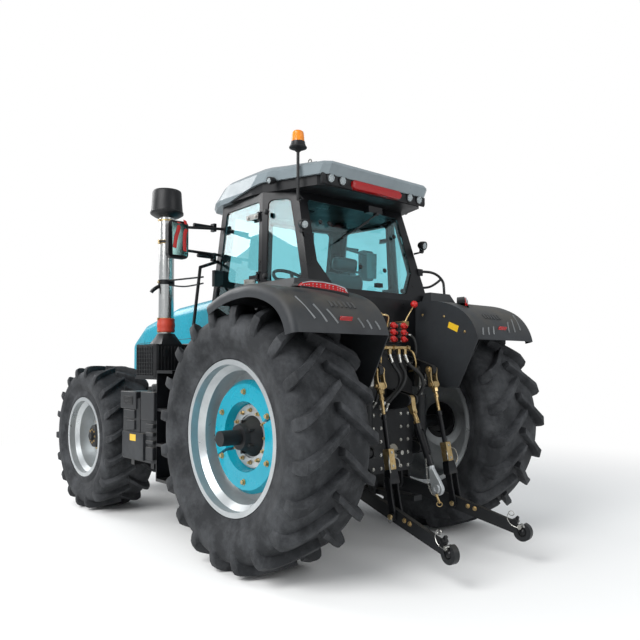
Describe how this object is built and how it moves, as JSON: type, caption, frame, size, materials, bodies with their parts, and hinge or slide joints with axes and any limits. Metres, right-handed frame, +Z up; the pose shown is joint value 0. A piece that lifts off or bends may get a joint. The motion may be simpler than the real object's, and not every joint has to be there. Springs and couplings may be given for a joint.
{
  "type": "farm tractor",
  "caption": "Farm tractor with a glazed cab, steered driven front axle, large lugged tyres, split rear wheel weights, front ballast and a rear three-point linkage.",
  "frame": {"origin": "on the ground under the middle of the machine's bounding box", "axes": "+X forward, +Y to the machine's left, +Z up; the wheels turn about +Y"},
  "size_m": [5.4027, 2.74, 3.2898],
  "materials": {
    "amber_plastic": "clear",
    "black_paint": "satin",
    "black_plastic": "fine grain",
    "cast_paint": "satin",
    "fender_plastic": "grained",
    "hood_paint": "gloss",
    "iron": "painted",
    "lamp_glass": "clear",
    "plated": "yellow zinc plated",
    "red_plastic": "clear",
    "rim_paint": "satin",
    "roof_plastic": "semi-gloss",
    "steel": "brushed",
    "tinted_glass": "clear",
    "tyre_rubber": "matt, dusty",
    "upholstery": "woven"
  },
  "bodies": {
    "chassis": {"transmission": "cast_paint", "engine": "cast_paint", "front_support": "cast_paint", "front_axle": "cast_paint", "front_weights": "iron", "pto_shaft": "steel", "drawbar": "cast_paint", "cab_frame": "black_paint", "cab_glass": "tinted_glass", "roof_base": "black_plastic", "roof": "roof_plastic", "work_lamps": "black_plastic", "beacon": "amber_plastic", "tail_lamps": "red_plastic", "seat": "upholstery", "steering_console": "black_plastic", "air_filter_box": "black_plastic", "intake_stack": "steel", "precleaner": "black_plastic", "side_frame": "black_paint", "fuel_tank": "black_plastic", "battery_box": "black_plastic", "exhaust_stack": "black_paint", "steps": "black_paint", "mirrors": "black_plastic", "hydraulic_couplers": "steel", "fender_left": "fender_plastic", "fender_right": "fender_plastic", "bulkhead": "black_paint", "grab_rail": "black_paint"},
    "rear_wheel_left": {"rear_tyre_left": "tyre_rubber", "rear_rim_left": "rim_paint", "rear_hub_left": "rim_paint", "wheel_weight_left": "hood_paint"},
    "knuckle_left": {"steering_knuckle_left": "cast_paint"},
    "front_wheel_left": {"front_tyre_left": "tyre_rubber", "front_rim_left": "rim_paint", "front_hub_left": "cast_paint"},
    "left_door": {"door_left": "tinted_glass", "door_fittings_left": "black_paint"},
    "rear_wheel_right": {"rear_tyre_right": "tyre_rubber", "rear_rim_right": "rim_paint", "rear_hub_right": "rim_paint", "wheel_weight_right": "hood_paint"},
    "knuckle_right": {"steering_knuckle_right": "cast_paint"},
    "front_wheel_right": {"front_tyre_right": "tyre_rubber", "front_rim_right": "rim_paint", "front_hub_right": "cast_paint"},
    "right_door": {"door_right": "tinted_glass", "door_fittings_right": "black_paint"},
    "hood": {"bonnet": "hood_paint", "grille": "black_plastic", "headlamps": "lamp_glass"},
    "arms": {"lift_arms": "cast_paint"},
    "links": {"lower_links": "cast_paint"},
    "hanger_rods": {"lift_rods": "plated"},
    "cylinders": {"lift_cylinders": "cast_paint"},
    "rams": {"lift_cylinder_rods": "steel"},
    "upper_link": {"top_link": "plated"}
  },
  "joints": [
    {"name": "rear_wheel_left_spin", "type": "hinge", "parent": "chassis", "child": "rear_wheel_left", "pos_m": [-1.35, 1.03, 0.956], "axis": [0, 1, 0], "continuous": true},
    {"name": "rear_wheel_right_spin", "type": "hinge", "parent": "chassis", "child": "rear_wheel_right", "pos_m": [-1.35, -1.03, 0.956], "axis": [0, 1, 0], "continuous": true},
    {"name": "steer_left", "type": "hinge", "parent": "chassis", "child": "knuckle_left", "pos_m": [1.51, 0.7, 0.732], "axis": [0, 0, 1], "range_deg": [-35, 35]},
    {"name": "steer_right", "type": "hinge", "parent": "chassis", "child": "knuckle_right", "pos_m": [1.51, -0.7, 0.732], "axis": [0, 0, 1], "range_deg": [-35, 35]},
    {"name": "front_wheel_left_spin", "type": "hinge", "parent": "knuckle_left", "child": "front_wheel_left", "pos_m": [1.51, 0.95, 0.732], "axis": [0, 1, 0], "continuous": true},
    {"name": "front_wheel_right_spin", "type": "hinge", "parent": "knuckle_right", "child": "front_wheel_right", "pos_m": [1.51, -0.95, 0.732], "axis": [0, 1, 0], "continuous": true},
    {"name": "door_left_hinge", "type": "hinge", "parent": "chassis", "child": "left_door", "pos_m": [-0.9905, 0.7987, 2.033], "axis": [0.0202, -0.0391, 0.999], "range_deg": [0, 50]},
    {"name": "door_right_hinge", "type": "hinge", "parent": "chassis", "child": "right_door", "pos_m": [-0.9905, -0.7987, 2.033], "axis": [-0.0202, -0.0391, -0.999], "range_deg": [0, 50]},
    {"name": "hood_hinge", "type": "hinge", "parent": "chassis", "child": "hood", "pos_m": [0.05, 0, 2.12], "axis": [0, -1, 0], "range_deg": [0, 45]},
    {"name": "lift", "type": "hinge", "parent": "chassis", "child": "arms", "pos_m": [-1.585, 0, 1.501], "axis": [0, 1, 0], "range_deg": [0, 50]},
    {"name": "lower_link_swing", "type": "hinge", "parent": "chassis", "child": "links", "pos_m": [-1.58, 0, 0.506], "axis": [0, 1, 0], "range_deg": [0, 28.6]},
    {"name": "lift_rod_swing", "type": "hinge", "parent": "arms", "child": "hanger_rods", "pos_m": [-1.87, 0, 1.433], "axis": [0, 1, 0], "range_deg": [-48.2, 0]},
    {"name": "cylinder_swing", "type": "hinge", "parent": "chassis", "child": "cylinders", "pos_m": [-1.75, 0, 0.8], "axis": [0, 1, 0], "range_deg": [-0.3, 0]},
    {"name": "ram_slide", "type": "slide", "parent": "cylinders", "child": "rams", "axis": [0, 0, 1], "range_m": [0, 0.151]},
    {"name": "top_link_swing", "type": "hinge", "parent": "chassis", "child": "upper_link", "pos_m": [-1.91, 0, 1.201], "axis": [0, 1, 0], "range_deg": [0, 75]}
  ],
  "couplings": [
    {"joint": "steer_right", "follows": "steer_left", "ratio": 1},
    {"joint": "lower_link_swing", "follows": "lift", "ratio": 0.5709},
    {"joint": "lift_rod_swing", "follows": "lift", "ratio": -0.9628},
    {"joint": "cylinder_swing", "follows": "lift", "ratio": -0.0058},
    {"joint": "ram_slide", "follows": "lift", "m_per_rad": 0.1719}
  ]
}
